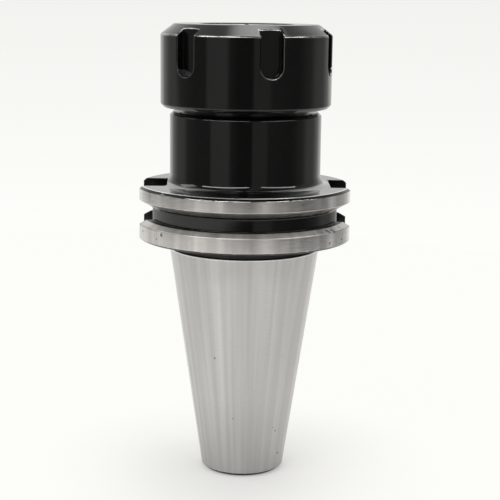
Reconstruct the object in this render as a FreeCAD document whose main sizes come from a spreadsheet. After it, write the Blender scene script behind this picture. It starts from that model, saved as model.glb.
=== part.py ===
import FreeCAD, Part
import math
import os
import Sketcher

# Collet chuck holder: a size 40 steep-taper shank with a V-groove flange, an ER32 collet in its
# nose and the slotted nut that clamps it. Millimetres. The shank stands on its small end:
# z = 0 is that end's face, +Z runs along the axis to the nose, and +X lies in the drive slots.

doc = FreeCAD.newDocument("collet_chuck_holder")

# Driving dimensions, one cell each, with the cell's meaning beside it
sheet = doc.addObject("Spreadsheet::Sheet", "sizes")
SIZES = [
    ("gauge_dia", 44.45, "taper diameter at its large end, the gauge plane"),
    ("taper_length", 68.25, "gauge plane to small end"),
    ("taper_rise", 7, "growth of the diameter over taper_run"),
    ("taper_run", 24, "length over which the taper grows by taper_rise"),
    ("end_chamfer", 0.9, "chamfer of the small end"),
    ("relief_step", 0.725, "depth of the undercut between taper and flange"),
    ("relief_length", 3.175, "gauge plane to the flange's back face"),
    ("flange_dia", 63.5, "flange outside diameter"),
    ("flange_width", 15.875, "flange back face to front face"),
    ("flange_front_chamfer", 0.8, "chamfer of the front face's rim"),
    ("flange_back_chamfer", 0.5, "chamfer of the back face's rim"),
    ("vee_middle", 7.94, "flange back face to the middle of the V-groove"),
    ("vee_depth", 3.7, "depth of the V-groove"),
    ("vee_root_width", 3.4, "flat at the bottom of the V-groove"),
    ("vee_half_angle", 30, "each flank's lean from square to the axis"),
    ("cut_overrun", 2, "how far a cut starts outside the metal"),
    ("drive_slot_width", 16.2, "width of both drive slots"),
    ("deep_slot_clear", 0.55, "neck surface to the floor of the deep drive slot"),
    ("shallow_slot_clear", 2.85, "neck surface to the floor of the shallow drive slot"),
    ("shoulder_step", 2.25, "neck surface outside the nose thread"),
    ("neck_length", 21.25, "flange front face to the neck's shoulder"),
    ("neck_fillet", 2, "fillet where the neck meets the flange"),
    ("neck_chamfer", 1, "chamfer of the neck's shoulder"),
    ("nose_wall", 3.078, "wall between the seat's mouth and the root of the nose thread"),
    ("thread_depth", 0.92, "depth of the M40 x 1.5 thread"),
    ("thread_play", 0.05, "radial play of the nut's thread at its outside diameter"),
    ("nose_chamfer", 1, "chamfer of the nose face"),
    ("seat_half_angle", 8, "half angle of the collet and its seat"),
    ("seat_play", 0.05, "radial play between collet and seat at rest"),
    ("seat_overrun", 1.9, "collet rear face to the foot of the seat"),
    ("shank_bore_dia", 21, "bore behind the seat, for the cutter's shank"),
    ("shank_bore_length", 28, "length of that bore"),
    ("drill_half_angle", 59, "half angle of the drill point at its end"),
    ("knob_wall", 4.12, "wall between the small end and the pull stud's pilot bore"),
    ("knob_thread_step", 1.4, "pilot bore down to the crests of the 5/8-11 thread"),
    ("knob_pilot_depth", 5, "depth of the pilot bore"),
    ("nut_wall", 5, "nut surface outside the nose thread"),
    ("nut_height", 24, "nut back face to front face"),
    ("nut_gap", 1.25, "neck shoulder to the nut's back face"),
    ("nut_bevel_width", 3.9, "radial width of the nut's front bevel"),
    ("nut_bevel_length", 3, "axial length of the nut's front bevel"),
    ("nut_back_chamfer", 1, "chamfer of the nut's back rim"),
    ("nut_thread_chamfer", 0.8, "chamfer of the nut thread's mouth"),
    ("nut_mouth_land", 1, "straight length of the opening in the nut's front face"),
    ("press_half_angle", 30, "half angle of the cone that presses the collet"),
    ("press_width", 2.45, "radial width of the collet's pressed cone, down to the nut's opening"),
    ("press_play", 0.2, "axial play between the nut's cone and the collet's"),
    ("nut_head_play", 0.35, "radial play of the nut around the collet's head"),
    ("nut_slot_count", 6, "spanner slots"),
    ("nut_slot_width", 6.4, "width of a spanner slot"),
    ("nut_slot_depth", 2.5, "depth of a spanner slot"),
    ("nut_slot_length", 14.5, "nut front face to the round end of a slot"),
    ("nut_turn", 16.7, "turn of the nut from its first slot facing -Y"),
    ("lip_offset", 1.15, "offset of the eccentric lip's bore from the axis"),
    ("lip_side_play", 0.25, "least radial play between that bore and the collet's groove"),
    ("lip_play", 0.3, "axial play of the lip in the collet's groove"),
    ("collet_dia", 33, "collet rim, its largest diameter"),
    ("collet_length", 40, "collet front face to rear face"),
    ("collet_rim_height", 3.9, "collet rim above the nose face at rest"),
    ("collet_recess", 0.3, "collet front face below the nut's front face"),
    ("collet_head_step", 0.2, "collet head inside the rim's radius"),
    ("collet_head_land", 0.4, "straight length of the head"),
    ("collet_groove_depth", 1.9, "depth of the collet's groove below its rim"),
    ("collet_groove_width", 2.45, "width of the collet's groove"),
    ("collet_end_chamfer", 0.6, "chamfer of the collet's rear end"),
    ("collet_bore_dia", 12, "bore that holds the cutter's shank"),
    ("slit_count", 8, "slits from each end of the collet"),
    ("slit_width", 1, "width of a slit"),
    ("front_web", 7, "solid ring left behind the slits from the front"),
    ("rear_web", 3.2, "solid ring left in front of the slits from the rear"),
]
for row, (alias, value, meaning) in enumerate(SIZES, start=1):
    sheet.set("A%d" % row, meaning)
    sheet.set("B%d" % row, str(value))
    sheet.setAlias("B%d" % row, alias)
doc.recompute()

# Radii, each an expression of the cells
gauge_radius = "sizes.gauge_dia / 2"
small_end_radius = gauge_radius + " - sizes.taper_length * sizes.taper_rise / sizes.taper_run / 2"
pilot_radius = small_end_radius + " - sizes.knob_wall"
knob_radius = pilot_radius + " - sizes.knob_thread_step"
bore_radius = "sizes.shank_bore_dia / 2"
rim_radius = "sizes.collet_dia / 2"
seat_radius = rim_radius + " - sizes.collet_rim_height * tan(sizes.seat_half_angle) + sizes.seat_play"
thread_root = seat_radius + " + sizes.nose_wall"
thread_radius = thread_root + " + sizes.thread_depth"
neck_radius = thread_radius + " + sizes.shoulder_step"
flange_radius = "sizes.flange_dia / 2"
vee_root = flange_radius + " - sizes.vee_depth"
nut_radius = thread_radius + " + sizes.nut_wall"
head_radius = rim_radius + " - sizes.collet_head_step"
mouth_radius = head_radius + " - sizes.press_width"
groove_radius = rim_radius + " - sizes.collet_groove_depth"
lip_radius = groove_radius + " + sizes.lip_side_play + sizes.lip_offset"

# Stations along the axis, from the small end up
gauge = "sizes.taper_length"
flange_back = gauge + " + sizes.relief_length"
vee_middle = flange_back + " + sizes.vee_middle"
flange_front = flange_back + " + sizes.flange_width"
shoulder = flange_front + " + sizes.neck_length"
nut_back = shoulder + " + sizes.nut_gap"
nut_front = nut_back + " + sizes.nut_height"
press_foot = nut_front + " - sizes.nut_mouth_land"
head_front = nut_front + " - sizes.collet_recess"
head_back = press_foot + " - sizes.press_play - sizes.press_width / tan(sizes.press_half_angle)"
groove_front = head_back + " - sizes.collet_head_land"
collet_rim = groove_front + " - sizes.collet_groove_width"
nose = collet_rim + " - sizes.collet_rim_height"
collet_rear = head_front + " - sizes.collet_length"
seat_foot = collet_rear + " - sizes.seat_overrun"
bore_end = seat_foot + " - sizes.shank_bore_length"


def origin_plane(body, role):
    """The body's own origin plane or axis with this role."""
    return [item for item in body.Origin.OriginFeatures if item.Role == role][0]


def new_body(label):
    """An empty body that is named for the file it will fill."""
    body = doc.addObject("PartDesign::Body", label)
    body.Label = label
    return body


def new_sketch(body, name, role, lift=None, turn=None):
    """A sketch on an origin plane, lifted along the plane's normal and turned about it."""
    sketch = body.newObject("Sketcher::SketchObject", name)
    sketch.AttachmentSupport = [(origin_plane(body, role), "")]
    sketch.MapMode = "FlatFace"
    if turn is not None:
        axis = FreeCAD.Vector(0, 0, 1)
        angle = float(sketch.evalExpression(turn))
        sketch.AttachmentOffset = FreeCAD.Placement(FreeCAD.Vector(), FreeCAD.Rotation(axis, angle))
        sketch.setExpression("AttachmentOffset.Rotation.Angle", turn)
    if lift is not None:
        sketch.setExpression("AttachmentOffset.Base.z", lift)
    doc.recompute()
    return sketch


def place_point(sketch, edge, end, across, up):
    """Tie one end of an edge to two expressions, measured from the sketch's origin."""
    for kind, expression, axis in (("DistanceX", across, -2), ("DistanceY", up, -1)):
        value = float(sketch.evalExpression(expression))
        if abs(value) < 1e-9:
            sketch.addConstraint(Sketcher.Constraint("PointOnObject", edge, end, axis))
        else:
            number = sketch.addConstraint(Sketcher.Constraint(kind, -1, 1, edge, end, value))
            sketch.setExpression("Constraints[%d]" % number, expression)


def draw_outline(sketch, corners):
    """A closed outline. A corner is (across, up), or (across, up, centre_across, centre_up) where
    the edge that leaves it is an arc about that centre."""
    spots = [[float(sketch.evalExpression(text)) for text in corner] for corner in corners]
    starts = []
    ends = []
    for index, spot in enumerate(spots):
        after = spots[(index + 1) % len(spots)]
        begin = FreeCAD.Vector(spot[0], spot[1], 0)
        finish = FreeCAD.Vector(after[0], after[1], 0)
        if len(spot) == 2:
            edge = sketch.addGeometry(Part.LineSegment(begin, finish), False)
            starts.append((edge, 1))
            ends.append((edge, 2))
            continue
        centre = FreeCAD.Vector(spot[2], spot[3], 0)
        first = math.atan2(begin.y - centre.y, begin.x - centre.x)
        last = math.atan2(finish.y - centre.y, finish.x - centre.x)
        forwards = (last - first) % (2 * math.pi) <= math.pi + 1e-6
        low, high = (first, last) if forwards else (last, first)
        circle = Part.Circle(centre, FreeCAD.Vector(0, 0, 1), (begin - centre).Length)
        edge = sketch.addGeometry(Part.ArcOfCircle(circle, low, high), False)
        starts.append((edge, 1 if forwards else 2))
        ends.append((edge, 2 if forwards else 1))
        level = abs(begin.y - finish.y) < 1e-6
        kind, value, number = ("DistanceY", centre.y, 3) if level else ("DistanceX", centre.x, 2)
        tie = sketch.addConstraint(Sketcher.Constraint(kind, -1, 1, edge, 3, value))
        sketch.setExpression("Constraints[%d]" % tie, corners[index][number])
    for index, corner in enumerate(corners):
        before = ends[index - 1]
        here = starts[index]
        sketch.addConstraint(Sketcher.Constraint("Coincident", before[0], before[1], here[0], here[1]))
        place_point(sketch, here[0], here[1], corner[0], corner[1])
    doc.recompute()


def revolve(body, sketch, name, kind="PartDesign::Revolution"):
    """Turn a half section about the sketch's upright axis."""
    feature = body.newObject(kind, name)
    feature.Profile = sketch
    feature.ReferenceAxis = (sketch, ["V_Axis"])
    feature.Angle = 360
    body.Tip = feature
    doc.recompute()
    return feature


def cut_pocket(body, sketch, name, towards_normal, length=None):
    """Mill a sketch away, along its normal or against it, right through or to a length."""
    before = body.Shape.Volume
    feature = body.newObject("PartDesign::Pocket", name)
    feature.Profile = sketch
    feature.Reversed = towards_normal
    if length is None:
        feature.Type = "ThroughAll"
    else:
        feature.Type = "Length"
        feature.setExpression("Length", length)
    body.Tip = feature
    doc.recompute()
    if not body.Shape.Volume < before - 0.5:
        raise RuntimeError(name + " cuts nothing")
    return feature


def repeat_round_axis(body, feature, name, count):
    """Copies of a cut, evenly spaced round the body's Z axis."""
    before = body.Shape.Volume
    pattern = body.newObject("PartDesign::PolarPattern", name)
    pattern.Originals = [feature]
    pattern.Axis = (origin_plane(body, "Z_Axis"), [""])
    pattern.Angle = 360
    pattern.setExpression("Occurrences", count)
    body.Tip = pattern
    doc.recompute()
    if not body.Shape.Volume < before - 0.5:
        raise RuntimeError(name + " repeats nothing")
    return pattern


# Holder: taper, flange, neck and threaded nose turned from one bar, hardened, blackened and then
# ground on the taper, the flange and the collet seat
holder = new_body("holder_body")
section = new_sketch(holder, "holder_section", "XZ_Plane")
draw_outline(section, [
    (pilot_radius, "0"),
    (small_end_radius + " - sizes.end_chamfer", "0"),
    (small_end_radius + " + sizes.end_chamfer * sizes.taper_rise / sizes.taper_run / 2", "sizes.end_chamfer"),
    (gauge_radius, gauge),
    (gauge_radius + " - sizes.relief_step", gauge),
    (gauge_radius + " - sizes.relief_step", flange_back),
    (flange_radius + " - sizes.flange_back_chamfer", flange_back),
    (flange_radius, flange_back + " + sizes.flange_back_chamfer"),
    (flange_radius, flange_front + " - sizes.flange_front_chamfer"),
    (flange_radius + " - sizes.flange_front_chamfer", flange_front),
    (neck_radius + " + sizes.neck_fillet", flange_front,
     neck_radius + " + sizes.neck_fillet", flange_front + " + sizes.neck_fillet"),
    (neck_radius, flange_front + " + sizes.neck_fillet"),
    (neck_radius, shoulder + " - sizes.neck_chamfer"),
    (neck_radius + " - sizes.neck_chamfer", shoulder),
    (thread_root, shoulder),
    (thread_root, nose + " - sizes.nose_chamfer"),
    (thread_root + " - sizes.nose_chamfer", nose),
    (seat_radius, nose),
    (seat_radius + " - (" + nose + " - (" + seat_foot + ")) * tan(sizes.seat_half_angle)", seat_foot),
    (bore_radius, seat_foot),
    (bore_radius, bore_end),
    (knob_radius, bore_end + " - (" + bore_radius + " - (" + knob_radius + ")) / tan(sizes.drill_half_angle)"),
    (knob_radius, "sizes.knob_pilot_depth"),
    (pilot_radius, "sizes.knob_pilot_depth"),
])
revolve(holder, section, "turned_holder")

# V-groove for the tool changer's gripper, with 60 degrees between its flanks
vee = new_sketch(holder, "vee_section", "XZ_Plane")
vee_outside = flange_radius + " + sizes.cut_overrun"
vee_rise = "(sizes.vee_depth + sizes.cut_overrun) * tan(sizes.vee_half_angle)"
draw_outline(vee, [
    (vee_root, vee_middle + " - sizes.vee_root_width / 2"),
    (vee_outside, vee_middle + " - sizes.vee_root_width / 2 - " + vee_rise),
    (vee_outside, vee_middle + " + sizes.vee_root_width / 2 + " + vee_rise),
    (vee_root, vee_middle + " + sizes.vee_root_width / 2"),
])
uncut = holder.Shape.Volume
revolve(holder, vee, "vee_groove", "PartDesign::Groove")
if not holder.Shape.Volume < uncut - 0.5:
    raise RuntimeError("vee_groove cuts nothing")

# Two drive slots of one width and unlike depth, so that the holder fits its spindle one way round
for name, side, clear in (("deep_slot", "-", "sizes.deep_slot_clear"),
                          ("shallow_slot", "", "sizes.shallow_slot_clear")):
    slot = new_sketch(holder, name + "_section", "XY_Plane")
    floor = side + "(" + neck_radius + " + " + clear + ")"
    outside = side + "(" + flange_radius + " + sizes.cut_overrun)"
    draw_outline(slot, [
        (floor, "-sizes.drive_slot_width / 2"),
        (outside, "-sizes.drive_slot_width / 2"),
        (outside, "sizes.drive_slot_width / 2"),
        (floor, "sizes.drive_slot_width / 2"),
    ])
    cut_pocket(holder, slot, name, True)

# Nut: turned from one bar and blackened, with a bevelled front, an inside thread, the cone that
# presses the collet and the lip that draws it out
nut = new_body("clamping_nut")
section = new_sketch(nut, "nut_section", "XZ_Plane")
nut_thread = thread_radius + " + sizes.thread_play"
head_bore = head_radius + " + sizes.nut_head_play"
lip_blank = lip_radius + " - 2 * sizes.lip_offset"
lip_back = collet_rim + " + sizes.lip_play"
lip_front = groove_front + " - sizes.lip_play"
press_back = press_foot + " - (sizes.press_width + sizes.nut_head_play) / tan(sizes.press_half_angle)"
draw_outline(section, [
    (nut_thread + " + sizes.nut_thread_chamfer", nut_back),
    (nut_radius + " - sizes.nut_back_chamfer", nut_back),
    (nut_radius, nut_back + " + sizes.nut_back_chamfer"),
    (nut_radius, nut_front + " - sizes.nut_bevel_length"),
    (nut_radius + " - sizes.nut_bevel_width", nut_front),
    (mouth_radius, nut_front),
    (mouth_radius, press_foot),
    (head_bore, press_back),
    (head_bore, lip_front),
    (lip_blank, lip_front),
    (lip_blank, lip_back),
    (nut_thread, lip_back),
    (nut_thread, nut_back + " + sizes.nut_thread_chamfer"),
])
revolve(nut, section, "turned_nut")

# The lip's own bore stands off the axis: one side of the lip sits in the collet's groove, and the
# other leaves room to tip the collet in
lip = new_sketch(nut, "lip_section", "XY_Plane", lift=lip_front)
middle = float(lip.evalExpression("sizes.lip_offset"))
bore = float(lip.evalExpression(lip_radius))
circle = Part.Circle(FreeCAD.Vector(middle, 0, 0), FreeCAD.Vector(0, 0, 1), bore)
ring = lip.addGeometry(circle, False)
lip.addConstraint(Sketcher.Constraint("PointOnObject", ring, 3, -1))
number = lip.addConstraint(Sketcher.Constraint("DistanceX", -1, 1, ring, 3, middle))
lip.setExpression("Constraints[%d]" % number, "sizes.lip_offset")
number = lip.addConstraint(Sketcher.Constraint("Radius", ring, bore))
lip.setExpression("Constraints[%d]" % number, lip_radius)
doc.recompute()
cut_pocket(nut, lip, "lip_bore", False, lip_front + " - (" + lip_back + ")")

# Spanner slots, milled from the outside by a cutter as wide as the slot, so each ends in a half
# circle and has a flat floor
slot = new_sketch(nut, "spanner_slot_section", "XZ_Plane", lift=nut_radius + " - sizes.nut_slot_depth")
half_slot = "sizes.nut_slot_width / 2"
slot_centre = nut_front + " - sizes.nut_slot_length + " + half_slot
slot_top = nut_front + " + sizes.nut_slot_width"
draw_outline(slot, [
    ("-" + half_slot, slot_centre, "0", slot_centre),
    (half_slot, slot_centre),
    (half_slot, slot_top),
    ("-" + half_slot, slot_top),
])
spanner_slot = cut_pocket(nut, slot, "spanner_slot", True)
repeat_round_axis(nut, spanner_slot, "spanner_slots", "sizes.nut_slot_count")
turn = float(slot.evalExpression("sizes.nut_turn"))
nut.Placement = FreeCAD.Placement(FreeCAD.Vector(), FreeCAD.Rotation(FreeCAD.Vector(0, 0, 1), turn))
nut.setExpression("Placement.Rotation.Angle", "sizes.nut_turn")

# Collet: spring steel, ground all over and slit from both ends, so that the ring closes evenly
collet = new_body("collet")
section = new_sketch(collet, "collet_section", "XZ_Plane")
bore_wall = "sizes.collet_bore_dia / 2"
rear_radius = rim_radius + " - (" + collet_rim + " - (" + collet_rear + ")) * tan(sizes.seat_half_angle)"
front_radius = (mouth_radius + " - (" + head_front + " - (" + press_foot + ") + sizes.press_play)"
                " * tan(sizes.press_half_angle)")
draw_outline(section, [
    (bore_wall, collet_rear),
    (rear_radius + " - sizes.collet_end_chamfer", collet_rear),
    (rear_radius + " + sizes.collet_end_chamfer * tan(sizes.seat_half_angle)",
     collet_rear + " + sizes.collet_end_chamfer"),
    (rim_radius, collet_rim),
    (groove_radius, collet_rim),
    (groove_radius, groove_front),
    (head_radius, groove_front),
    (head_radius, head_back),
    (front_radius, head_front),
    (bore_wall, head_front),
])
revolve(collet, section, "turned_collet")
for name, level, turn, reversed_cut, length in (
        ("front_slit", head_front, None, False, "sizes.collet_length - sizes.front_web"),
        ("rear_slit", collet_rear, "180 / sizes.slit_count", True, "sizes.collet_length - sizes.rear_web")):
    slit = new_sketch(collet, name + "_section", "XY_Plane", lift=level, turn=turn)
    draw_outline(slit, [
        ("0", "-sizes.slit_width / 2"),
        ("sizes.collet_dia", "-sizes.slit_width / 2"),
        ("sizes.collet_dia", "sizes.slit_width / 2"),
        ("0", "sizes.slit_width / 2"),
    ])
    first_slit = cut_pocket(collet, slit, name, reversed_cut, length)
    repeat_round_axis(collet, first_slit, name + "s", "sizes.slit_count")

# Check every object, then write each sub-part to its own file
doc.recompute()
for item in doc.Objects:
    for word in ("Invalid", "Error"):
        if word in item.State:
            raise RuntimeError(item.Name + " is " + word)
os.makedirs("parts", exist_ok=True)
for body in (holder, nut, collet):
    if body.Shape.isNull() or not body.Shape.isValid() or len(body.Shape.Solids) != 1:
        raise RuntimeError(body.Label + " is not one valid solid")
    body.Shape.exportStep("parts/" + body.Label + ".step")
    print(body.Label, round(body.Shape.Volume, 1), "mm3")
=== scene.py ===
import math

import bmesh
import bpy
from mathutils import Matrix, Vector


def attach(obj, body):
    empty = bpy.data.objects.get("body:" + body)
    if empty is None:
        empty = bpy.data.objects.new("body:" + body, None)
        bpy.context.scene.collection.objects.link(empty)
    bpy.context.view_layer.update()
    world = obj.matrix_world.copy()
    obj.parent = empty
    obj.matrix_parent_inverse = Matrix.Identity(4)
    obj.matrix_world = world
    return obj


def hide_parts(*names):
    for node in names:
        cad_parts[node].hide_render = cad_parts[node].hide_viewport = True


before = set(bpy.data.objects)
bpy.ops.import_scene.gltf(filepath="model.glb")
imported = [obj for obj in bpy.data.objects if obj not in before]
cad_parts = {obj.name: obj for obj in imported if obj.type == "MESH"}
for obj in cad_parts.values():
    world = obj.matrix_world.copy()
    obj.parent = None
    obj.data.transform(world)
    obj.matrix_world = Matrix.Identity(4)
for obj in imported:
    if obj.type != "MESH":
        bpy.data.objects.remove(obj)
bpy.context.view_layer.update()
scene = bpy.context.scene


# Camera: at the photograph's height and distance, looking a little down on the chuck, which stands
# on its small end. The lens is long, so the taper's sides stay nearly straight. Its place is in
# metres, its angles are in radians, and its lens and sensor in millimetres.
CAMERA_AT = (0, -0.3762, 0.14068)
LOOKING_DOWN = 0.1934
LOOKING_ASIDE = 0.0046
ROLL = 0.0122
LENS = 92.03
SENSOR = 36

ahead = Vector((math.sin(LOOKING_ASIDE) * math.cos(LOOKING_DOWN),
                math.cos(LOOKING_ASIDE) * math.cos(LOOKING_DOWN),
                -math.sin(LOOKING_DOWN)))
level = Vector((math.cos(LOOKING_ASIDE), -math.sin(LOOKING_ASIDE), 0))
upward = level.cross(ahead)
across = math.cos(ROLL) * level + math.sin(ROLL) * upward
upright = math.cos(ROLL) * upward - math.sin(ROLL) * level
aim = Matrix((across, upright, -ahead)).transposed().to_4x4()
camera = bpy.data.objects.new("camera", bpy.data.cameras.new("camera"))
scene.collection.objects.link(camera)
camera.matrix_world = Matrix.Translation(CAMERA_AT) @ aim
camera.data.lens = LENS
camera.data.sensor_width = SENSOR
camera.data.clip_start = 0.01
camera.data.clip_end = 20
scene.camera = camera


# Holder: one bar of case-hardened steel, turned all over and blackened, then ground bright on the
# taper, on the flange and in the collet seat. Two drive slots are milled through the flange. Its
# sizes are in millimetres: radii from the turning axis, and heights above its small end.
MM = 0.001
TURNING_STEPS = 240

# The taper, 7 in 24 on the diameter and measured at its gauge line
GAUGE_RADIUS = 22.225
GAUGE_HEIGHT = 68.25
TAPER_SLOPE = 7 / 48
END_RADIUS = 11.372
END_CHAMFER = 0.9
# The band of near-white steel just under the gauge line, in mm: a painted highlight line
GLINT_HEIGHT = 0.4

# The flange, with its V-groove and its two drive slots
UNDERCUT_RADIUS = 21.5
FLANGE_RADIUS = 31.75
FLANGE_FOOT = GAUGE_HEIGHT + 3.175
FLANGE_TOP = FLANGE_FOOT + 15.875
FLANGE_FOOT_CHAMFER = 0.5
FLANGE_TOP_CHAMFER = 0.8
GROOVE_SLOPE = math.tan(math.radians(30))
GROOVE_RADIUS = 28.05
LOWER_RIM_TOP = 76.2
LOWER_FLANK_RADIUS = 29.85
GROOVE_FOOT = 77.3
GROOVE_TOP = 81.065
UPPER_FLANK_RADIUS = 28.57
UPPER_FLANK_FOOT = 81.365
SLOT_WIDTH = 16.2
SLOT_FLOORS = (22.8, 25.1)

# The neck and the threaded nose
NECK_RADIUS = 22.25
NECK_FILLET = 3.0
NECK_TOP = 108.55
NECK_CHAMFER = 1.0
NOSE_TOP = 121.606
NOSE_CHAMFER = 1.0
NOSE_THREAD_ROOT = 19.08
NOSE_THREAD_CREST = 20.0
NOSE_THREAD_FOOT = 112.3
NOSE_THREAD_TOP = 120.4
NOSE_PITCH = 1.5
RELIEF_RADIUS = 18.7
RELIEF_TOP = NECK_TOP + 2.6

# Inside: the collet's seat, the bore, and the pull stud's thread and pilot
SEAT_RADIUS = 16.0019
SEAT_SLOPE = math.tan(math.radians(8))
SEAT_FOOT = 91.62
BORE_RADIUS = 10.5
BORE_TOP = 91.6
BORE_FOOT = 63.6
DRILL_SLOPE = math.tan(math.radians(31))
STUD_THREAD_ROOT = 7.9
STUD_THREAD_CREST = 6.752
STUD_PITCH = 2.309
STUD_THREAD_FOOT = 6.4
STUD_THREAD_TOP = 50
STUD_TAP_END = 50.05
STUD_DRILL_FOOT = 51.2
PILOT_RADIUS = 8.152
PILOT_DEPTH = 5


def paint(code):
    """An sRGB hex colour as the linear colour that a shader takes."""
    shares = [int(code[place:place + 2], 16) / 255 for place in (1, 3, 5)]
    linear = [share / 12.92 if share <= 0.04045 else ((share + 0.055) / 1.055) ** 2.4 for share in shares]
    return linear + [1]


def add_node(tree, kind, inputs=None, **settings):
    """One node: its settings, then its inputs, each a plain value or the socket that feeds it."""
    node = tree.nodes.new("ShaderNode" + kind)
    for name, value in settings.items():
        setattr(node, name, value)
    for name, value in (inputs or {}).items():
        if isinstance(value, bpy.types.NodeSocket):
            tree.links.new(value, node.inputs[name])
        else:
            node.inputs[name].default_value = value
    return node


def new_material(name):
    """An empty material: its tree, its shader, and a place round and along the turning axis."""
    material = bpy.data.materials.new(name)
    material.use_nodes = True
    tree = material.node_tree
    shader = tree.nodes["Principled BSDF"]
    place = add_node(tree, "TexCoord")
    split = add_node(tree, "SeparateXYZ", {"Vector": place.outputs["Object"]})
    flat = add_node(tree, "CombineXYZ", {"X": split.outputs["X"], "Y": split.outputs["Y"]})
    unit = add_node(tree, "VectorMath", {0: flat.outputs["Vector"]}, operation="NORMALIZE")
    return material, tree, shader, unit.outputs["Vector"], split.outputs["Z"]


def turned_noise(tree, unit, height, around, along, detail=3.0):
    """Noise wrapped round the axis: patches this many degrees wide and this many metres long."""
    scale = math.degrees(1) / around
    tall = add_node(tree, "Math", {0: height, 1: 1 / (along * scale)}, operation="MULTIPLY")
    lift = add_node(tree, "CombineXYZ", {"Z": tall.outputs["Value"]})
    spot = add_node(tree, "VectorMath", {0: unit, 1: lift.outputs["Vector"]}, operation="ADD")
    noise = add_node(tree, "TexNoise", {"Vector": spot.outputs["Vector"], "Scale": scale, "Detail": detail})
    return noise.outputs["Fac"]


# Ground steel: hardened tool steel, ground round the axis. The grinding marks blur what it reflects
# upwards and downwards only, so it shows upright bands with clear edges.
def ground_steel(name, dark, light, roughness, anisotropy, marks, wear=(), painted_foot_shade=0.0):
    material, tree, shader, unit, height = new_material(name)
    patches = turned_noise(tree, unit, height, around=7, along=0.1, detail=2.0)
    share = add_node(tree, "MapRange", {"Value": patches, "From Min": 0.37, "From Max": 0.63})
    tone = add_node(tree, "Mix", {0: share.outputs["Result"], 6: paint(dark), 7: paint(light)},
                    data_type="RGBA")
    # Grinding marks 3 mm long and 0.3 mm apart, so that they show; the real ones are ten times finer
    grind = turned_noise(tree, unit, height, around=8, along=0.3 * MM, detail=4.0)
    line = add_node(tree, "MapRange", {"Value": grind, "From Min": 0.3, "From Max": 0.7,
                                       "To Min": 1 - marks, "To Max": 1.0})
    shade = line.outputs["Result"]
    if painted_foot_shade:
        # Painted shade: the lowest 25 mm grow darker towards the small end, by this share at the foot
        foot_shade_ramp = add_node(tree, "MapRange", {"Value": height, "From Min": 0, "From Max": 25 * MM,
                                           "To Min": 1 - painted_foot_shade, "To Max": 1.0})
        foot_shaded = add_node(tree, "Math", {0: shade, 1: foot_shade_ramp.outputs["Result"]}, operation="MULTIPLY")
        shade = foot_shaded.outputs["Value"]
    # Nicks and pits from years of use, each a dark spot at its place in mm, as wide as its last number
    place = add_node(tree, "TexCoord")
    for *spot, width in wear:
        near = add_node(tree, "VectorMath", {0: place.outputs["Object"], 1: Vector(spot) * MM},
                        operation="DISTANCE")
        pit = add_node(tree, "MapRange", {"Value": near.outputs["Value"], "From Min": width * 0.3 * MM,
                                          "From Max": width * 0.55 * MM, "To Min": 0.3, "To Max": 1.0})
        pitted = add_node(tree, "Math", {0: shade, 1: pit.outputs["Result"]}, operation="MULTIPLY")
        shade = pitted.outputs["Value"]
    colour = add_node(tree, "VectorMath", {0: tone.outputs[2]}, operation="SCALE")
    tree.links.new(shade, colour.inputs["Scale"])
    tree.links.new(colour.outputs["Vector"], shader.inputs["Base Color"])
    gloss = add_node(tree, "MapRange", {"Value": grind, "From Min": 0.3, "From Max": 0.7,
                                        "To Min": roughness * 0.9, "To Max": roughness * 1.1})
    tree.links.new(gloss.outputs["Result"], shader.inputs["Roughness"])
    tangent = add_node(tree, "Tangent", direction_type="RADIAL", axis="Z")
    tree.links.new(tangent.outputs["Tangent"], shader.inputs["Tangent"])
    shader.inputs["Metallic"].default_value = 1
    shader.inputs["Anisotropic"].default_value = anisotropy
    shader.inputs["Anisotropic Rotation"].default_value = 0.25
    return material


# Black oxide: a thin oiled black skin on turned steel. It reflects like lacquer: dark where it is
# looked at squarely and pale towards the outline.
def black_oxide(name, dark, light, roughness):
    material, tree, shader, unit, height = new_material(name)
    patches = turned_noise(tree, unit, height, around=20, along=20 * MM)
    # Turning marks 0.6 mm apart, so that they show; the real ones are a fifth of that
    ring = turned_noise(tree, unit, height, around=150, along=0.6 * MM, detail=4.0)
    tone = add_node(tree, "Mix", {0: patches, 6: paint(dark), 7: paint(light)}, data_type="RGBA")
    tree.links.new(tone.outputs[2], shader.inputs["Base Color"])
    gloss = add_node(tree, "MapRange", {"Value": patches, "From Min": 0.3, "From Max": 0.7,
                                        "To Min": roughness * 0.8, "To Max": roughness * 1.2})
    tree.links.new(gloss.outputs["Result"], shader.inputs["Roughness"])
    # Every sharp corner is broken by 0.3 mm, which gives it a fine light line
    corner = add_node(tree, "Bevel", {"Radius": 0.3 * MM}, samples=6)
    bump = add_node(tree, "Bump", {"Height": ring, "Strength": 0.03, "Distance": 0.03 * MM,
                                   "Normal": corner.outputs["Normal"]})
    tree.links.new(bump.outputs["Normal"], shader.inputs["Normal"])
    shader.inputs["Metallic"].default_value = 0
    shader.inputs["IOR"].default_value = 1.5
    return material


TAPER_WEAR = [(-8.27, -15.74, 37.77, 0.7), (-2.82, -14.78, 19, 0.4), (9.82, -10.39, 13.91, 0.6),
              (9.19, -11.19, 15.12, 0.4), (10.77, -7.51, 5.92, 0.8), (12.75, -2.64, 5.14, 0.6)]
FLANGE_WEAR = [(-29.4, -12, 74.6, 0.9), (-23.44, -21.41, 75.2, 1.2), (-24.93, -19.66, 73.65, 0.6),
               (-26.2, -17.9, 84.2, 0.6), (27.94, -15.08, 73.4, 0.9), (24.2, -20.55, 73.2, 0.7),
               (23.25, -20.17, 76.76, 1.2), (23.96, -20.21, 76.43, 1.2), (24.77, -18.59, 76.65, 1.3),
               (25.49, -18.66, 76.29, 1.1), (21.85, -22.23, 76.53, 0.6), (19.48, -24.47, 76.48, 0.6),
               (27.06, -14.44, 76.82, 0.8)]

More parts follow.
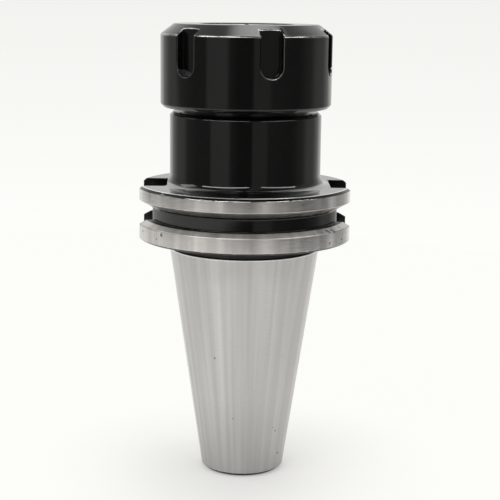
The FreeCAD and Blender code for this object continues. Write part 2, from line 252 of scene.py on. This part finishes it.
# Hardened steel, ground finely round the axis: a soft silver with faint upright bands, darkened towards the
# small end by painted shade
taper_steel = ground_steel("ground_taper_steel", "#cccbca", "#dbdad8", roughness=0.31, anisotropy=0.95,
                           marks=0.05, wear=TAPER_WEAR, painted_foot_shade=0.2)
# The same steel, near-white in thin bands under the gauge line and along the flange's upper edge: a painted
# highlight line
painted_highlight_steel = ground_steel("painted_highlight_taper_steel", "#f0efed", "#fbfaf8", roughness=0.3, anisotropy=0.9,
                          marks=0.03)
# The flange's two rims, ground sharper than the taper: clear bands of light and dark
rim_steel = ground_steel("ground_flange_steel", "#cecbc8", "#ebe9e6", roughness=0.17, anisotropy=0.8,
                         marks=0.12, wear=FLANGE_WEAR)
# The groove's two flanks, ground coarsely: a flat grey with nicks from the gripper
flank_steel = ground_steel("ground_flank_steel", "#b9b7b3", "#d7d5d2", roughness=0.38, anisotropy=0.3,
                           marks=0.12, wear=FLANGE_WEAR)
# The flange's upper face, turned finely and left bright: a darker mirror, half of it black with the neck
face_steel = ground_steel("fine_turned_steel", "#939392", "#9b9b9a", roughness=0.1, anisotropy=0.3,
                          marks=0.03)
# Oiled black oxide on a finely turned surface: glossy black
oxide = black_oxide("black_oxide_steel", "#080808", "#0e0e0e", roughness=0.07)
# The same oxide where only a coarse tool reached, as in bores and undercuts: matt black
dull_oxide = black_oxide("dull_black_oxide", "#070707", "#0d0d0d", roughness=0.3)
# The same oxide on milled flats: black with a soft sheen
milled_oxide = black_oxide("milled_black_oxide", "#070707", "#0d0d0d", roughness=0.16)


def shade_smooth(shape):
    """Shade every face as a part of a round surface."""
    for face in shape.faces:
        face.smooth = True


def turn(shape, corners, angle, axis="Z"):
    """Turn these corners of the shape about an axis through the origin."""
    bmesh.ops.rotate(shape, verts=corners, cent=(0, 0, 0), matrix=Matrix.Rotation(angle, 3, axis))


def turned(corners):
    """A closed half section of (radius, height, ...) corners in mm, turned once round the axis."""
    shape = bmesh.new()
    points = [shape.verts.new((corner[0] * MM, 0, corner[1] * MM)) for corner in corners]
    lines = [shape.edges.new(pair) for pair in zip(points, points[1:] + points[:1])]
    bmesh.ops.spin(shape, geom=points + lines, cent=(0, 0, 0), axis=(0, 0, 1), angle=2 * math.pi,
                   steps=TURNING_STEPS, use_merge=True)
    bmesh.ops.recalc_face_normals(shape, faces=shape.faces)
    return shape


def ring_edges(shape, radius, height):
    """The edges of the turned shape that run round at this radius and height, in mm."""
    near = 0.002 * MM
    found = []
    for edge in shape.edges:
        if all(abs(end.co.xy.length - radius * MM) < near and abs(end.co.z - height * MM) < near
               for end in edge.verts):
            found.append(edge)
    return found


def round_corners(shape, corners, finishes):
    """Break or fillet each corner whose third number is a width in mm, and finish it if it says how."""
    fillet_from, fillet_segments, edge_segments = 1, 10, 3
    for radius, height, width, finish, *edge_finish in corners:
        if width:
            index = finishes.index(edge_finish[0]) if edge_finish else -1
            segments = fillet_segments if width > fillet_from else edge_segments
            bmesh.ops.bevel(shape, geom=ring_edges(shape, radius, height), offset=width * MM,
                            segments=segments, profile=0.5, affect="EDGES",
                            material=index, clamp_overlap=False)
    shade_smooth(shape)


def finish_faces(shape, corners, finishes):
    """Give each face the finish of the stretch of the half section that it was turned from."""
    stretches = []
    for here, after in zip(corners, corners[1:] + corners[:1]):
        stretches.append(((Vector(here[:2]) + Vector(after[:2])) / 2, here[3]))
    for face in shape.faces:
        radius = sum(corner.co.xy.length for corner in face.verts) / len(face.verts)
        spot = Vector((radius, face.calc_center_median().z)) / MM
        finish = min(stretches, key=lambda stretch: (stretch[0] - spot).length)[1]
        face.material_index = finishes.index(finish)


def thread(root, crest, pitch, foot, top, start=0.0):
    """A helical ridge from foot to top on a wall of radius root, its crest at radius crest, in mm."""
    steps_a_turn = 64
    root_share, crest_share = 0.44, 0.06
    buried = root - 0.15 if crest > root else root + 0.15
    section = [(buried, -root_share), (root, -root_share), (crest, -crest_share), (crest, crest_share),
               (root, root_share), (buried, root_share)]
    turns = (top - foot) / pitch
    ridge = bmesh.new()
    points = [ridge.verts.new((r * MM, 0, (foot + z * pitch) * MM)) for r, z in section]
    turn(ridge, points, start)
    cap = ridge.faces.new(points)
    bmesh.ops.spin(ridge, geom=[cap], cent=(0, 0, 0), axis=(0, 0, 1), angle=2 * math.pi * turns,
                   steps=round(steps_a_turn * turns), dvec=(0, 0, pitch * MM / steps_a_turn))
    bmesh.ops.recalc_face_normals(ridge, faces=ridge.faces)
    return ridge


def join_shape(shape, other, finishes, finish):
    """Add another shape to this one, its faces in one finish."""
    for face in other.faces:
        face.material_index = finishes.index(finish)
    part = bpy.data.meshes.new("part")
    other.to_mesh(part)
    other.free()
    shape.from_mesh(part)
    bpy.data.meshes.remove(part)


def new_piece(name, shape, finishes):
    """A finished piece at the origin from this shape."""
    mesh = bpy.data.meshes.new(name)
    shape.to_mesh(mesh)
    shape.free()
    piece = bpy.data.objects.new(name, mesh)
    scene.collection.objects.link(piece)
    for finish in finishes:
        mesh.materials.append(finish)
    return piece


def add_block(shape, size, middle):
    """Add a block of this size, its middle at this place, in mm, and return its corners."""
    corners = bmesh.ops.create_cube(shape, size=1)["verts"]
    bmesh.ops.scale(shape, verts=corners, vec=Vector(size) * MM)
    bmesh.ops.translate(shape, verts=corners, vec=Vector(middle) * MM)
    return corners


def cut_away(piece, shape, finishes, finish):
    """Cut this shape out of the piece, and return what is left, with the cut's faces in this finish."""
    for face in shape.faces:
        face.material_index = finishes.index(finish)
    cutter = new_piece("cutter", shape, finishes)
    cut = piece.modifiers.new("cut", "BOOLEAN")
    cut.operation = "DIFFERENCE"
    cut.solver = "EXACT"
    cut.material_mode = "INDEX"
    cut.object = cutter
    bpy.context.view_layer.update()
    whole = bpy.data.meshes.new_from_object(piece.evaluated_get(bpy.context.evaluated_depsgraph_get()))
    left = bmesh.new()
    left.from_mesh(whole)
    bpy.data.meshes.remove(whole)
    bpy.data.objects.remove(cutter)
    bpy.data.objects.remove(piece)
    return left


def break_cut_edges(shape, finishes, cut_finish, width, edge_finish):
    """Break the edges where a cut meets the turned surface, by this width in mm, and keep flats flat."""
    sharpest = 0.6
    cut_index = finishes.index(cut_finish)
    bmesh.ops.remove_doubles(shape, verts=shape.verts, dist=0.01 * MM)
    rims = []
    for edge in shape.edges:
        sides = {face.material_index == cut_index for face in edge.link_faces}
        if len(edge.link_faces) == 2 and len(sides) == 2:
            rims.append(edge)
    bmesh.ops.bevel(shape, geom=rims, offset=width * MM, segments=2, profile=0.5, affect="EDGES",
                    material=finishes.index(edge_finish), clamp_overlap=False)
    for edge in shape.edges:
        edge.smooth = len(edge.link_faces) < 2 or edge.calc_face_angle(0) < sharpest
    shade_smooth(shape)


def keep_flats(piece):
    """Let the wide faces set the shading, so that flats stay flat beside their broken edges."""
    smooth = piece.modifiers.new("flats stay flat", "WEIGHTED_NORMAL")
    smooth.keep_sharp = True


def taper_radius(height):
    """The taper's radius at this height, both in mm."""
    return GAUGE_RADIUS - (GAUGE_HEIGHT - height) * TAPER_SLOPE


# Each corner: its radius and height, how wide it is broken, and the finish from there to the next
# corner, with the finish of its own broken edge where that is another one
holder_finishes = [taper_steel, painted_highlight_steel, rim_steel, flank_steel, face_steel, oxide, dull_oxide,
                   milled_oxide]
glint_foot = GAUGE_HEIGHT - GLINT_HEIGHT
lower_flank_top = LOWER_RIM_TOP + (FLANGE_RADIUS - LOWER_FLANK_RADIUS) * GROOVE_SLOPE
upper_rim_foot = UPPER_FLANK_FOOT + (FLANGE_RADIUS - UPPER_FLANK_RADIUS) * GROOVE_SLOPE
holder_corners = [
    (PILOT_RADIUS, 0, 0.2, oxide),
    (END_RADIUS, 0, 0.15, oxide),
    (taper_radius(END_CHAMFER), END_CHAMFER, 0.12, taper_steel),
    # Just under the gauge line a thin band of near-white steel: a painted highlight line
    (taper_radius(glint_foot), glint_foot, 0, painted_highlight_steel),
    (GAUGE_RADIUS, GAUGE_HEIGHT, 0.1, dull_oxide),
    (UNDERCUT_RADIUS, GAUGE_HEIGHT, 0.3, dull_oxide),
    (UNDERCUT_RADIUS, FLANGE_FOOT, 0.3, dull_oxide),
    (FLANGE_RADIUS - FLANGE_FOOT_CHAMFER, FLANGE_FOOT, 0.1, oxide),
    (FLANGE_RADIUS, FLANGE_FOOT + FLANGE_FOOT_CHAMFER, 0.12, rim_steel),
    (FLANGE_RADIUS, LOWER_RIM_TOP, 0.25, flank_steel, flank_steel),
    # The lower flank is bright only on its outer part; from here down to the groove it is dull black, a dark
    # band along the groove's foot
    (LOWER_FLANK_RADIUS, lower_flank_top, 0.1, dull_oxide),
    (GROOVE_RADIUS, GROOVE_FOOT, 0, oxide),
    (GROOVE_RADIUS, GROOVE_TOP, 0.4, oxide),
    (UPPER_FLANK_RADIUS, UPPER_FLANK_FOOT, 0, flank_steel),
    (FLANGE_RADIUS, upper_rim_foot, 0.12, rim_steel),
    (FLANGE_RADIUS, FLANGE_TOP - FLANGE_TOP_CHAMFER, 0.12, oxide),
    # The flange's upper edge is broken in near-white steel: a painted highlight line
    (FLANGE_RADIUS - FLANGE_TOP_CHAMFER, FLANGE_TOP, 0.2, face_steel, painted_highlight_steel),
    (NECK_RADIUS, FLANGE_TOP, NECK_FILLET, oxide),
    (NECK_RADIUS, NECK_TOP - NECK_CHAMFER, 0.2, oxide),
    (NECK_RADIUS - NECK_CHAMFER, NECK_TOP, 0.15, oxide),
    (RELIEF_RADIUS, NECK_TOP, 0, oxide),
    (RELIEF_RADIUS, RELIEF_TOP, 0, oxide),
    (NOSE_THREAD_ROOT, RELIEF_TOP + NOSE_THREAD_ROOT - RELIEF_RADIUS, 0, oxide),
    (NOSE_THREAD_ROOT, NOSE_TOP - NOSE_CHAMFER, 0, oxide),
    (NOSE_THREAD_ROOT - NOSE_CHAMFER, NOSE_TOP, 0.15, oxide),
    (SEAT_RADIUS, NOSE_TOP, 0.15, taper_steel),
    (SEAT_RADIUS - (NOSE_TOP - SEAT_FOOT) * SEAT_SLOPE, SEAT_FOOT, 0, dull_oxide),
    (BORE_RADIUS, BORE_TOP, 0, dull_oxide),
    (BORE_RADIUS, BORE_FOOT, 0, dull_oxide),
    (STUD_THREAD_CREST, BORE_FOOT - (BORE_RADIUS - STUD_THREAD_CREST) * DRILL_SLOPE, 0, dull_oxide),
    (STUD_THREAD_CREST, STUD_DRILL_FOOT, 0, dull_oxide),
    (STUD_THREAD_ROOT, STUD_TAP_END, 0, dull_oxide),
    (STUD_THREAD_ROOT, PILOT_DEPTH, 0, dull_oxide),
    (PILOT_RADIUS, PILOT_DEPTH, 0, dull_oxide),
]
holder = turned(holder_corners)
finish_faces(holder, holder_corners, holder_finishes)
round_corners(holder, holder_corners, holder_finishes)
holder_piece = new_piece("collet_holder", holder, holder_finishes)

MILL_DEPTH = 12
MILL_HEIGHT = 22
MILL_MIDDLE = 79.5
mill = bmesh.new()
for floor, side in zip(SLOT_FLOORS, (-1, 1)):
    add_block(mill, (MILL_DEPTH, SLOT_WIDTH, MILL_HEIGHT), (side * (floor + MILL_DEPTH / 2), 0, MILL_MIDDLE))
holder = cut_away(holder_piece, mill, holder_finishes, milled_oxide)
break_cut_edges(holder, holder_finishes, milled_oxide, 0.2, oxide)
nose_thread = thread(NOSE_THREAD_ROOT, NOSE_THREAD_CREST, NOSE_PITCH, NOSE_THREAD_FOOT, NOSE_THREAD_TOP)
join_shape(holder, nose_thread, holder_finishes, oxide)
stud_thread = thread(STUD_THREAD_ROOT, STUD_THREAD_CREST, STUD_PITCH, STUD_THREAD_FOOT, STUD_THREAD_TOP)
join_shape(holder, stud_thread, holder_finishes, dull_oxide)
holder_piece = new_piece("collet_holder", holder, holder_finishes)
keep_flats(holder_piece)
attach(holder_piece, "holder")
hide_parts("holder_body")


# Nut: turned from one bar, bored and threaded M40 x 1.5, slotted for a hook spanner and blackened.
# An eccentric lip inside it carries the collet. It is run down on the nose, its slots turned as
# they stand in the photograph. Heights are above the holder's small end, in millimetres.
NUT_TURN = math.radians(16.7)
NUT_RADIUS = 25
NUT_FOOT = 109.8
NUT_FACE = 133.8
NUT_CHAMFER = 1.0
BEVEL_HEIGHT = 3.0
BEVEL_WIDTH = 3.9
MOUTH_RADIUS = 13.85
MOUTH_DEPTH = 1.0
PRESS_RADIUS = 16.65
PRESS_SLOPE = math.tan(math.radians(30))
LIP_RADIUS = 13.7
LIP_TOP = 127.656
LIP_FOOT = 125.806
LIP_CUT_RADIUS = 16
LIP_CUT_OFFSET = 1.15
NUT_THREAD_ROOT = 20.05
NUT_THREAD_CREST = 19.2
NUT_THREAD_FOOT = 111.2
NUT_THREAD_TOP = 120.9
NUT_ENTRY = 0.8
NUT_SLOTS = 6
NUT_SLOT_FLOOR = 22.5
NUT_SLOT_RADIUS = 3.2
NUT_SLOT_END = 122.5
CUTTER_RISE = 20
CUTTER_REACH = 5

# Oxide rubbed through to the steel along the slots' and the bevel's edges: a thin grey line
worn_edge = ground_steel("rubbed_edge_steel", "#787776", "#a8a7a6", roughness=0.18, anisotropy=0.0,
                         marks=0.05)
nut_finishes = [oxide, dull_oxide, worn_edge, milled_oxide]
press_foot = NUT_FACE - MOUTH_DEPTH - (PRESS_RADIUS - MOUTH_RADIUS) / PRESS_SLOPE
nut_corners = [
    (NUT_THREAD_ROOT + NUT_ENTRY, NUT_FOOT, 0.1, oxide),
    (NUT_RADIUS - NUT_CHAMFER, NUT_FOOT, 0.25, oxide),
    (NUT_RADIUS, NUT_FOOT + NUT_CHAMFER, 0.25, oxide),
    (NUT_RADIUS, NUT_FACE - BEVEL_HEIGHT, 0.4, oxide, worn_edge),
    (NUT_RADIUS - BEVEL_WIDTH, NUT_FACE, 0.25, oxide),
    (MOUTH_RADIUS, NUT_FACE, 0.2, oxide),
    (MOUTH_RADIUS, NUT_FACE - MOUTH_DEPTH, 0, dull_oxide),
    (PRESS_RADIUS, press_foot, 0, dull_oxide),
    (PRESS_RADIUS, LIP_TOP, 0, dull_oxide),
    (LIP_RADIUS, LIP_TOP, 0, dull_oxide),
    (LIP_RADIUS, LIP_FOOT, 0, dull_oxide),
    (NUT_THREAD_ROOT, LIP_FOOT, 0, dull_oxide),
    (NUT_THREAD_ROOT, NUT_FOOT + NUT_ENTRY, 0, oxide),
]
nut = turned(nut_corners)
finish_faces(nut, nut_corners, nut_finishes)
round_corners(nut, nut_corners, nut_finishes)
nut_piece = new_piece("slotted_nut", nut, nut_finishes)

# An end mill's shape for each slot: a disc with its upper half pushed up past the nut's face, stood
# on edge against the slot's floor, and pulled outwards
slot_mill = bmesh.new()
for number in range(NUT_SLOTS):
    disc = bmesh.ops.create_circle(slot_mill, cap_ends=True, segments=48,
                                   radius=NUT_SLOT_RADIUS * MM)["verts"]
    upper = [corner for corner in disc if corner.co.y > 0]
    bmesh.ops.translate(slot_mill, verts=upper, vec=(0, CUTTER_RISE * MM, 0))
    turn(slot_mill, disc, math.pi / 2, "X")
    bmesh.ops.translate(slot_mill, verts=disc, vec=(0, -NUT_SLOT_FLOOR * MM, NUT_SLOT_END * MM))
    bottom = {face for corner in disc for face in corner.link_faces}
    pulled = bmesh.ops.extrude_face_region(slot_mill, geom=list(bottom))["geom"]
    pulled = [item for item in pulled if isinstance(item, bmesh.types.BMVert)]
    bmesh.ops.translate(slot_mill, verts=pulled, vec=(0, -CUTTER_REACH * MM, 0))
    turn(slot_mill, disc + pulled, NUT_TURN + number * 2 * math.pi / NUT_SLOTS)
bmesh.ops.recalc_face_normals(slot_mill, faces=slot_mill.faces)
nut = cut_away(nut_piece, slot_mill, nut_finishes, milled_oxide)
break_cut_edges(nut, nut_finishes, milled_oxide, 0.35, worn_edge)
nut_piece = new_piece("slotted_nut", nut, nut_finishes)

lip_mill = bmesh.new()
rod = bmesh.ops.create_cone(lip_mill, cap_ends=True, segments=120, radius1=LIP_CUT_RADIUS * MM,
                            radius2=LIP_CUT_RADIUS * MM, depth=(LIP_TOP - LIP_FOOT) * MM)["verts"]
bmesh.ops.translate(lip_mill, verts=rod, vec=(LIP_CUT_OFFSET * MM, 0, (LIP_TOP + LIP_FOOT) / 2 * MM))
turn(lip_mill, rod, NUT_TURN)
nut = cut_away(nut_piece, lip_mill, nut_finishes, dull_oxide)
shade_smooth(nut)
nut_thread = thread(NUT_THREAD_ROOT, NUT_THREAD_CREST, NOSE_PITCH, NUT_THREAD_FOOT, NUT_THREAD_TOP, math.pi)
join_shape(nut, nut_thread, nut_finishes, dull_oxide)
nut_piece = new_piece("slotted_nut", nut, nut_finishes)
keep_flats(nut_piece)
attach(nut_piece, "nut")
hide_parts("clamping_nut")


# Collet: spring steel, ground all over and slit from both ends, so that it closes evenly on the
# cutter's shank. It snaps into the nut's lip and sits in the holder's cone. Heights are above the
# holder's small end, in millimetres.
COLLET_BORE = 6
COLLET_FOOT = 93.5
COLLET_FACE = 133.5
COLLET_FOOT_RADIUS = 11.402
COLLET_CHAMFER = 0.6
COLLET_CONE_TOP = 125.506
COLLET_CONE_RADIUS = 16.5
COLLET_NECK_RADIUS = 14.6
COLLET_RIM_RADIUS = 16.3
COLLET_RIM_FOOT = 127.956
COLLET_RIM_TOP = 128.356
SLITS = 16
SLIT_WIDTH = 1
BLADE_REACH = 18
FACE_SLIT = (100.5, 135)
FOOT_SLIT = (92, 130.3)

# Spring steel, ground all over: a plain satin silver. The slits' sawn walls are the darker rubbed steel
collet_steel = ground_steel("ground_spring_steel", "#b4b3af", "#cbcac6", roughness=0.25, anisotropy=0.5,
                            marks=0.05)
collet_finishes = [collet_steel, worn_edge]
cone_foot = COLLET_FOOT + COLLET_CHAMFER
collet_corners = [
    (COLLET_BORE, COLLET_FOOT, 0.3, collet_steel),
    (COLLET_FOOT_RADIUS, COLLET_FOOT, 0.1, collet_steel),
    (COLLET_CONE_RADIUS - (COLLET_CONE_TOP - cone_foot) * SEAT_SLOPE, cone_foot, 0.1, collet_steel),
    (COLLET_CONE_RADIUS, COLLET_CONE_TOP, 0.12, collet_steel),
    (COLLET_NECK_RADIUS, COLLET_CONE_TOP, 0.2, collet_steel),
    (COLLET_NECK_RADIUS, COLLET_RIM_FOOT, 0.2, collet_steel),
    (COLLET_RIM_RADIUS, COLLET_RIM_FOOT, 0.12, collet_steel),
    (COLLET_RIM_RADIUS, COLLET_RIM_TOP, 0.12, collet_steel),
    (COLLET_RIM_RADIUS - (COLLET_FACE - COLLET_RIM_TOP) * PRESS_SLOPE, COLLET_FACE, 0.2, collet_steel),
    (COLLET_BORE, COLLET_FACE, 0.4, collet_steel),
]
collet = turned(collet_corners)
finish_faces(collet, collet_corners, collet_finishes)
round_corners(collet, collet_corners, collet_finishes)
collet_piece = new_piece("slit_collet", collet, collet_finishes)
saw = bmesh.new()
for number in range(SLITS):
    low, high = (FACE_SLIT, FOOT_SLIT)[number % 2]
    blade = add_block(saw, (BLADE_REACH, SLIT_WIDTH, high - low), (BLADE_REACH / 2, 0, (high + low) / 2))
    turn(saw, blade, number * 2 * math.pi / SLITS)
collet = cut_away(collet_piece, saw, collet_finishes, worn_edge)
shade_smooth(collet)
collet_piece = new_piece("slit_collet", collet, collet_finishes)
keep_flats(collet_piece)
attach(collet_piece, "collet")
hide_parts("collet")


# Floor: a pale matt table top, lit softly, that reaches further to the left. Round the chuck's foot the
# camera sees its real shading, and further out that runs into the white behind it. Its sizes are in
# metres.
TABLE_RADIUS = 0.42
TABLE_MIDDLE = (-0.1, 0, -0.0002)
SHADE_FROM = 0.0125
SHADE_TO = 0.068
WHITE_NEAR = 0.36
WHITE_FAR = 0.97

# White paint, sprayed and left matt: an even pale surface with a soft shadow
floor_paint, tree, shader, unit, height = new_material("matt_white_table")
shader.inputs["Base Color"].default_value = paint("#efeeec")
shader.inputs["Roughness"].default_value = 0.7
shader.inputs["IOR"].default_value = 1.45
place = add_node(tree, "TexCoord")
away = add_node(tree, "VectorMath", {0: place.outputs["Object"]}, operation="LENGTH")
fade = add_node(tree, "MapRange", {"Value": away.outputs["Value"], "From Min": SHADE_FROM,
                                   "From Max": SHADE_TO, "To Min": WHITE_NEAR, "To Max": WHITE_FAR},
                interpolation_type="SMOOTHSTEP")
path = add_node(tree, "LightPath")
seen = add_node(tree, "Math", {0: path.outputs["Is Camera Ray"], 1: fade.outputs["Result"]},
                operation="MULTIPLY")
white = add_node(tree, "Emission", {"Color": paint("#fdfdfa"), "Strength": 1.0})
blend = add_node(tree, "MixShader", {"Fac": seen.outputs["Value"]})
tree.links.new(shader.outputs["BSDF"], blend.inputs[1])
tree.links.new(white.outputs["Emission"], blend.inputs[2])
tree.links.new(blend.outputs["Shader"], tree.nodes["Material Output"].inputs["Surface"])
table_shape = bmesh.new()
bmesh.ops.create_circle(table_shape, cap_ends=True, segments=96, radius=TABLE_RADIUS)
bmesh.ops.translate(table_shape, verts=table_shape.verts, vec=TABLE_MIDDLE)
table_top = new_piece("table_top", table_shape, [floor_paint])


# Light: a white tent behind and beside the chuck, dim towards the camera, with white cards to the
# left and right of it that give the steel its upright bands, a card overhead, and three long lamps.
# The tent's brightness is given by the angle in degrees from the camera's side, positive rightwards.
TENT = [(-180, 0.7), (-163, 0.9), (-150, 0.95), (-138, 0.55), (-122, 0.35), (-108, 0.42), (-95, 0.2),
        (-75, 0.14), (-56, 0.14), (-51, 0.42), (-27, 0.44), (-20, 0.13), (-9, 0.06), (8, 0.06), (12, 0.28),
        (30, 0.28), (36, 0.14), (72, 0.1), (92, 0.2), (108, 0.42), (122, 0.35), (138, 0.55), (150, 0.95),
        (163, 0.9), (180, 0.7)]
OVERHEAD = (0.11, 0.26, 0.96)
LAMPS_FACE = (0, 0, 0.1)

world = bpy.data.worlds.new("studio")
scene.world = world
world.use_nodes = True
tree = world.node_tree
direction = add_node(tree, "TexCoord")
split = add_node(tree, "SeparateXYZ", {"Vector": direction.outputs["Generated"]})
back = add_node(tree, "Math", {0: split.outputs["Y"], 1: -1}, operation="MULTIPLY")
azimuth = add_node(tree, "Math", {0: split.outputs["X"], 1: back.outputs["Value"]}, operation="ARCTAN2")
share = add_node(tree, "MapRange", {"Value": azimuth.outputs["Value"], "From Min": -math.pi,
                                    "From Max": math.pi})
tent = add_node(tree, "ValToRGB", {"Fac": share.outputs["Result"]})
tent.color_ramp.interpolation = "EASE"
for degrees, strength in TENT[1:-1]:
    tent.color_ramp.elements.new((degrees + 180) / 360)
for stop, (degrees, strength) in zip(tent.color_ramp.elements, TENT):
    stop.color = (strength, strength, strength, 1)
# A round card overhead, brighter than the tent, with a soft edge
high = add_node(tree, "VectorMath", {0: direction.outputs["Generated"], 1: OVERHEAD}, operation="DOT_PRODUCT")
glow = add_node(tree, "MapRange", {"Value": high.outputs["Value"], "From Min": 0.95, "From Max": 1.0,
                                   "To Min": 0, "To Max": 4}, interpolation_type="SMOOTHSTEP")
light = add_node(tree, "Math", {0: tent.outputs["Color"], 1: glow.outputs["Result"]}, operation="ADD")
# What the camera itself sees behind the chuck: nearly white low down, and a little greyer above
wall = add_node(tree, "MapRange", {"Value": split.outputs["Z"], "From Min": -0.17, "From Max": 0.0,
                                   "To Min": 0.985, "To Max": 0.89})
path = add_node(tree, "LightPath")
strength = add_node(tree, "Mix", {0: path.outputs["Is Camera Ray"], 2: light.outputs["Value"],
                                  3: wall.outputs["Result"]}, data_type="FLOAT")
background = tree.nodes["Background"]
background.inputs["Color"].default_value = paint("#fffffc")
tree.links.new(strength.outputs[0], background.inputs["Strength"])


def lamp(name, place, size, power):
    """A soft lamp, so wide and so tall in metres, that faces the chuck with this power in watts."""
    light = bpy.data.lights.new(name, "AREA")
    light.shape = "RECTANGLE"
    light.size, light.size_y = size
    light.energy = power
    made = bpy.data.objects.new(name, light)
    scene.collection.objects.link(made)
    made.location = place
    made.rotation_mode = "QUATERNION"
    made.rotation_quaternion = (Vector(LAMPS_FACE) - Vector(place)).to_track_quat("-Z", "Y")


lamp("left_lamp", (-0.4, -0.59, 0.75), (1.2, 0.14), 4.7)
lamp("right_lamp", (0.68, -0.42, 0.72), (1.0, 0.14), 3.0)
lamp("left_back_lamp", (-0.75, 0.22, 0.62), (0.5, 0.2), 0.8)

scene.view_settings.view_transform = "Standard"
